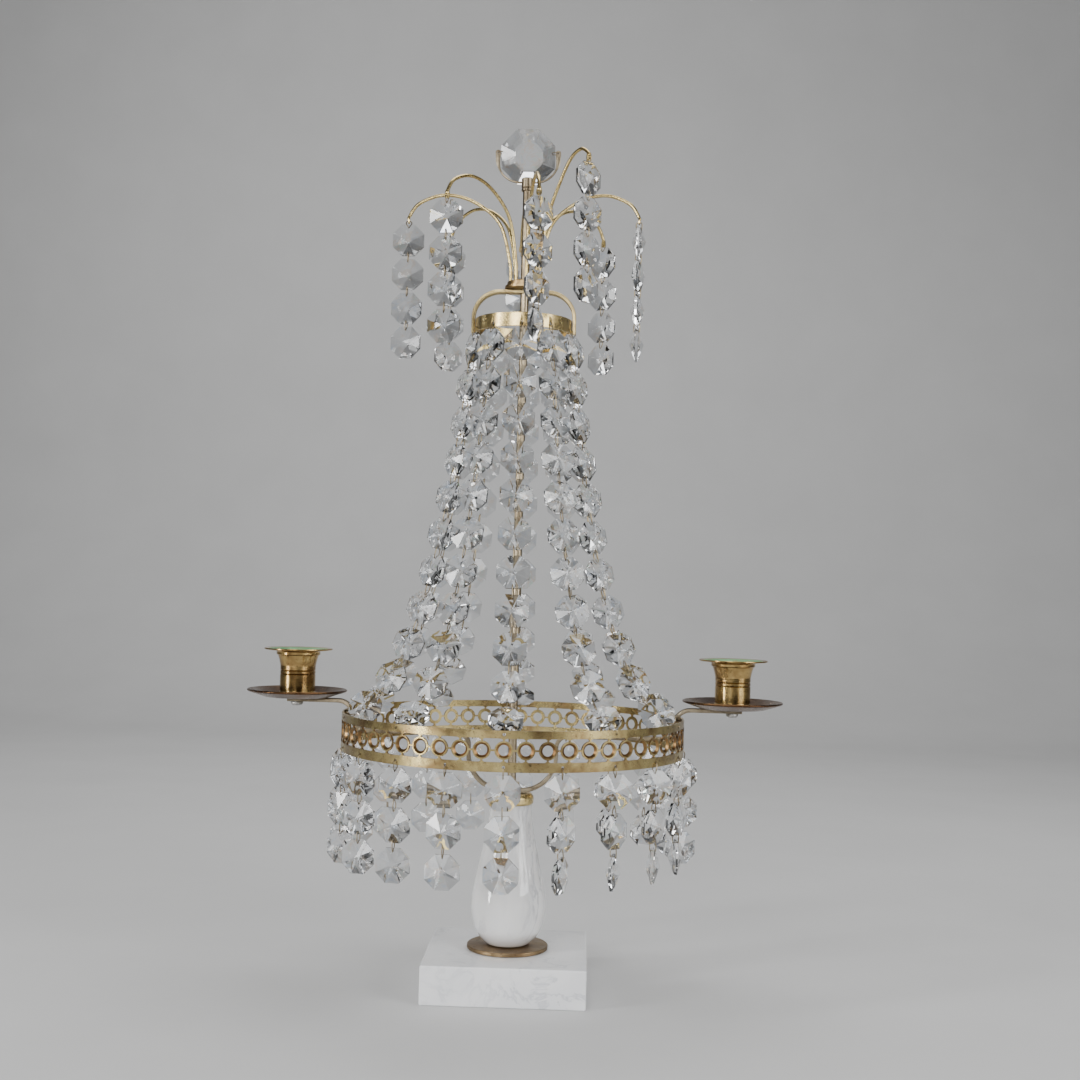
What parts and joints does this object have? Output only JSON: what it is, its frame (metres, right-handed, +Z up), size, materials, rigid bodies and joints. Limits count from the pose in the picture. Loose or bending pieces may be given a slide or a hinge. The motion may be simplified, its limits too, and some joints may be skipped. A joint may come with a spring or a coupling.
{
  "type": "table candelabrum",
  "caption": "Table candelabrum: marble foot, stone vase, pierced brass ring with two candle arms, and a spray on a tall rod, hung with strands of cut octagons.",
  "frame": {"origin": "Middle of the marble block's underside, on the table.", "axes": "+Z up along the rod. The two candle arms lie along X and the front faces -Y."},
  "size_m": [0.374, 0.2459, 0.5982],
  "materials": {
    "brass": "polished, lightly toned",
    "aged_brass": "dull, toned brown",
    "steel": "plain",
    "marble": "white marble with faint grey veins, satin",
    "alabaster": "milky white stone, polished",
    "crystal": "clear, cut"
  },
  "bodies": {
    "stand": {"base": "marble", "base_washer": "steel", "base_nut": "steel", "foot_disc": "aged_brass", "vase": "alabaster", "collar": "brass", "cradle_bar": "aged_brass", "cradle_nut": "steel", "gallery": "brass", "pan_left": "aged_brass", "socket_left": "brass", "pan_screw_left": "steel", "pan_right": "aged_brass", "socket_right": "brass", "pan_screw_right": "steel", "stem_rod": "aged_brass", "small_ring": "brass", "upper_bow": "brass", "spray": "brass", "ferrule": "aged_brass", "stirrup": "brass", "long_strand_1": "crystal", "long_strand_2": "crystal", "long_strand_3": "crystal", "long_strand_4": "crystal", "long_strand_5": "crystal", "long_strand_6": "crystal", "long_strand_7": "crystal", "long_strand_8": "crystal", "long_strand_9": "crystal", "long_strand_10": "crystal"},
    "finial_gem": {"finial_gem": "crystal"},
    "spray_strand_1": {"spray_strand_1": "crystal"},
    "spray_strand_2": {"spray_strand_2": "crystal"},
    "spray_strand_3": {"spray_strand_3": "crystal"},
    "spray_strand_4": {"spray_strand_4": "crystal"},
    "spray_strand_5": {"spray_strand_5": "crystal"},
    "spray_strand_6": {"spray_strand_6": "crystal"},
    "spray_strand_7": {"spray_strand_7": "crystal"},
    "spray_strand_8": {"spray_strand_8": "crystal"},
    "gallery_strand_1": {"gallery_strand_1": "crystal"},
    "gallery_strand_2": {"gallery_strand_2": "crystal"},
    "gallery_strand_3": {"gallery_strand_3": "crystal"},
    "gallery_strand_4": {"gallery_strand_4": "crystal"},
    "gallery_strand_5": {"gallery_strand_5": "crystal"},
    "gallery_strand_6": {"gallery_strand_6": "crystal"},
    "gallery_strand_7": {"gallery_strand_7": "crystal"},
    "gallery_strand_8": {"gallery_strand_8": "crystal"},
    "gallery_strand_9": {"gallery_strand_9": "crystal"},
    "gallery_strand_10": {"gallery_strand_10": "crystal"},
    "gallery_strand_11": {"gallery_strand_11": "crystal"},
    "gallery_strand_12": {"gallery_strand_12": "crystal"},
    "gallery_strand_13": {"gallery_strand_13": "crystal"},
    "gallery_strand_14": {"gallery_strand_14": "crystal"},
    "gallery_strand_15": {"gallery_strand_15": "crystal"},
    "gallery_strand_16": {"gallery_strand_16": "crystal"},
    "gallery_strand_17": {"gallery_strand_17": "crystal"},
    "gallery_strand_18": {"gallery_strand_18": "crystal"},
    "gallery_strand_19": {"gallery_strand_19": "crystal"},
    "gallery_strand_20": {"gallery_strand_20": "crystal"}
  },
  "joints": [
    {"name": "spray_strand_1_swing", "type": "hinge", "parent": "stand", "child": "spray_strand_1", "pos_m": [0.01127, -0.08021, 0.53271], "axis": [-0.9903, -0.1392, 0], "range_deg": [-12, 12]},
    {"name": "spray_strand_2_swing", "type": "hinge", "parent": "stand", "child": "spray_strand_2", "pos_m": [0.04296, -0.0512, 0.56459], "axis": [-0.766, -0.6428, 0], "range_deg": [-12, 12]},
    {"name": "spray_strand_3_swing", "type": "hinge", "parent": "stand", "child": "spray_strand_3", "pos_m": [0.07915, -0.00832, 0.53271], "axis": [-0.1045, -0.9945, 0], "range_deg": [-12, 12]},
    {"name": "spray_strand_4_swing", "type": "hinge", "parent": "stand", "child": "spray_strand_4", "pos_m": [0.05524, 0.05924, 0.53271], "axis": [0.7314, -0.682, 0], "range_deg": [-12, 12]},
    {"name": "spray_strand_5_swing", "type": "hinge", "parent": "stand", "child": "spray_strand_5", "pos_m": [-0.00706, 0.08069, 0.53271], "axis": [0.9962, 0.0872, 0], "range_deg": [-12, 12]},
    {"name": "spray_strand_6_swing", "type": "hinge", "parent": "stand", "child": "spray_strand_6", "pos_m": [-0.05827, 0.05627, 0.53271], "axis": [0.6947, 0.7193, 0], "range_deg": [-12, 12]},
    {"name": "spray_strand_7_swing", "type": "hinge", "parent": "stand", "child": "spray_strand_7", "pos_m": [-0.08312, 0, 0.53271], "axis": [0, 1, 0], "range_deg": [-12, 12]},
    {"name": "spray_strand_8_swing", "type": "hinge", "parent": "stand", "child": "spray_strand_8", "pos_m": [-0.04969, -0.06839, 0.53271], "axis": [-0.809, 0.5878, 0], "range_deg": [-12, 12]},
    {"name": "gallery_strand_1_swing", "type": "hinge", "parent": "stand", "child": "gallery_strand_1", "pos_m": [0, -0.11795, 0.16515], "axis": [-1, 0, 0], "range_deg": [-12, 12]},
    {"name": "gallery_strand_2_swing", "type": "hinge", "parent": "stand", "child": "gallery_strand_2", "pos_m": [0.03645, -0.11218, 0.16515], "axis": [-0.9511, -0.309, 0], "range_deg": [-12, 12]},
    {"name": "gallery_strand_3_swing", "type": "hinge", "parent": "stand", "child": "gallery_strand_3", "pos_m": [0.06933, -0.09542, 0.16515], "axis": [-0.809, -0.5878, 0], "range_deg": [-12, 12]},
    {"name": "gallery_strand_4_swing", "type": "hinge", "parent": "stand", "child": "gallery_strand_4", "pos_m": [0.09542, -0.06933, 0.16515], "axis": [-0.5878, -0.809, 0], "range_deg": [-12, 12]},
    {"name": "gallery_strand_5_swing", "type": "hinge", "parent": "stand", "child": "gallery_strand_5", "pos_m": [0.11218, -0.03645, 0.16515], "axis": [-0.309, -0.9511, 0], "range_deg": [-12, 12]},
    {"name": "gallery_strand_6_swing", "type": "hinge", "parent": "stand", "child": "gallery_strand_6", "pos_m": [0.11795, 0, 0.16515], "axis": [0, -1, 0], "range_deg": [-12, 12]},
    {"name": "gallery_strand_7_swing", "type": "hinge", "parent": "stand", "child": "gallery_strand_7", "pos_m": [0.11218, 0.03645, 0.16515], "axis": [0.309, -0.9511, 0], "range_deg": [-12, 12]},
    {"name": "gallery_strand_8_swing", "type": "hinge", "parent": "stand", "child": "gallery_strand_8", "pos_m": [0.09542, 0.06933, 0.16515], "axis": [0.5878, -0.809, 0], "range_deg": [-12, 12]},
    {"name": "gallery_strand_9_swing", "type": "hinge", "parent": "stand", "child": "gallery_strand_9", "pos_m": [0.06933, 0.09542, 0.16515], "axis": [0.809, -0.5878, 0], "range_deg": [-12, 12]},
    {"name": "gallery_strand_10_swing", "type": "hinge", "parent": "stand", "child": "gallery_strand_10", "pos_m": [0.03645, 0.11218, 0.16515], "axis": [0.9511, -0.309, 0], "range_deg": [-12, 12]},
    {"name": "gallery_strand_11_swing", "type": "hinge", "parent": "stand", "child": "gallery_strand_11", "pos_m": [0, 0.11795, 0.16515], "axis": [1, 0, 0], "range_deg": [-12, 12]},
    {"name": "gallery_strand_12_swing", "type": "hinge", "parent": "stand", "child": "gallery_strand_12", "pos_m": [-0.03645, 0.11218, 0.16515], "axis": [0.9511, 0.309, 0], "range_deg": [-12, 12]},
    {"name": "gallery_strand_13_swing", "type": "hinge", "parent": "stand", "child": "gallery_strand_13", "pos_m": [-0.06933, 0.09542, 0.16515], "axis": [0.809, 0.5878, 0], "range_deg": [-12, 12]},
    {"name": "gallery_strand_14_swing", "type": "hinge", "parent": "stand", "child": "gallery_strand_14", "pos_m": [-0.09542, 0.06933, 0.16515], "axis": [0.5878, 0.809, 0], "range_deg": [-12, 12]},
    {"name": "gallery_strand_15_swing", "type": "hinge", "parent": "stand", "child": "gallery_strand_15", "pos_m": [-0.11218, 0.03645, 0.16515], "axis": [0.309, 0.9511, 0], "range_deg": [-12, 12]},
    {"name": "gallery_strand_16_swing", "type": "hinge", "parent": "stand", "child": "gallery_strand_16", "pos_m": [-0.11795, 0, 0.16515], "axis": [0, 1, 0], "range_deg": [-12, 12]},
    {"name": "gallery_strand_17_swing", "type": "hinge", "parent": "stand", "child": "gallery_strand_17", "pos_m": [-0.11218, -0.03645, 0.16515], "axis": [-0.309, 0.9511, 0], "range_deg": [-12, 12]},
    {"name": "gallery_strand_18_swing", "type": "hinge", "parent": "stand", "child": "gallery_strand_18", "pos_m": [-0.09542, -0.06933, 0.16515], "axis": [-0.5878, 0.809, 0], "range_deg": [-12, 12]},
    {"name": "gallery_strand_19_swing", "type": "hinge", "parent": "stand", "child": "gallery_strand_19", "pos_m": [-0.06933, -0.09542, 0.16515], "axis": [-0.809, 0.5878, 0], "range_deg": [-12, 12]},
    {"name": "gallery_strand_20_swing", "type": "hinge", "parent": "stand", "child": "gallery_strand_20", "pos_m": [-0.03645, -0.11218, 0.16515], "axis": [-0.9511, 0.309, 0], "range_deg": [-12, 12]},
    {"name": "finial_gem_swing", "type": "hinge", "parent": "stand", "child": "finial_gem", "pos_m": [0, 0, 0.58285], "axis": [1, 0, 0], "range_deg": [0, 34]}
  ]
}
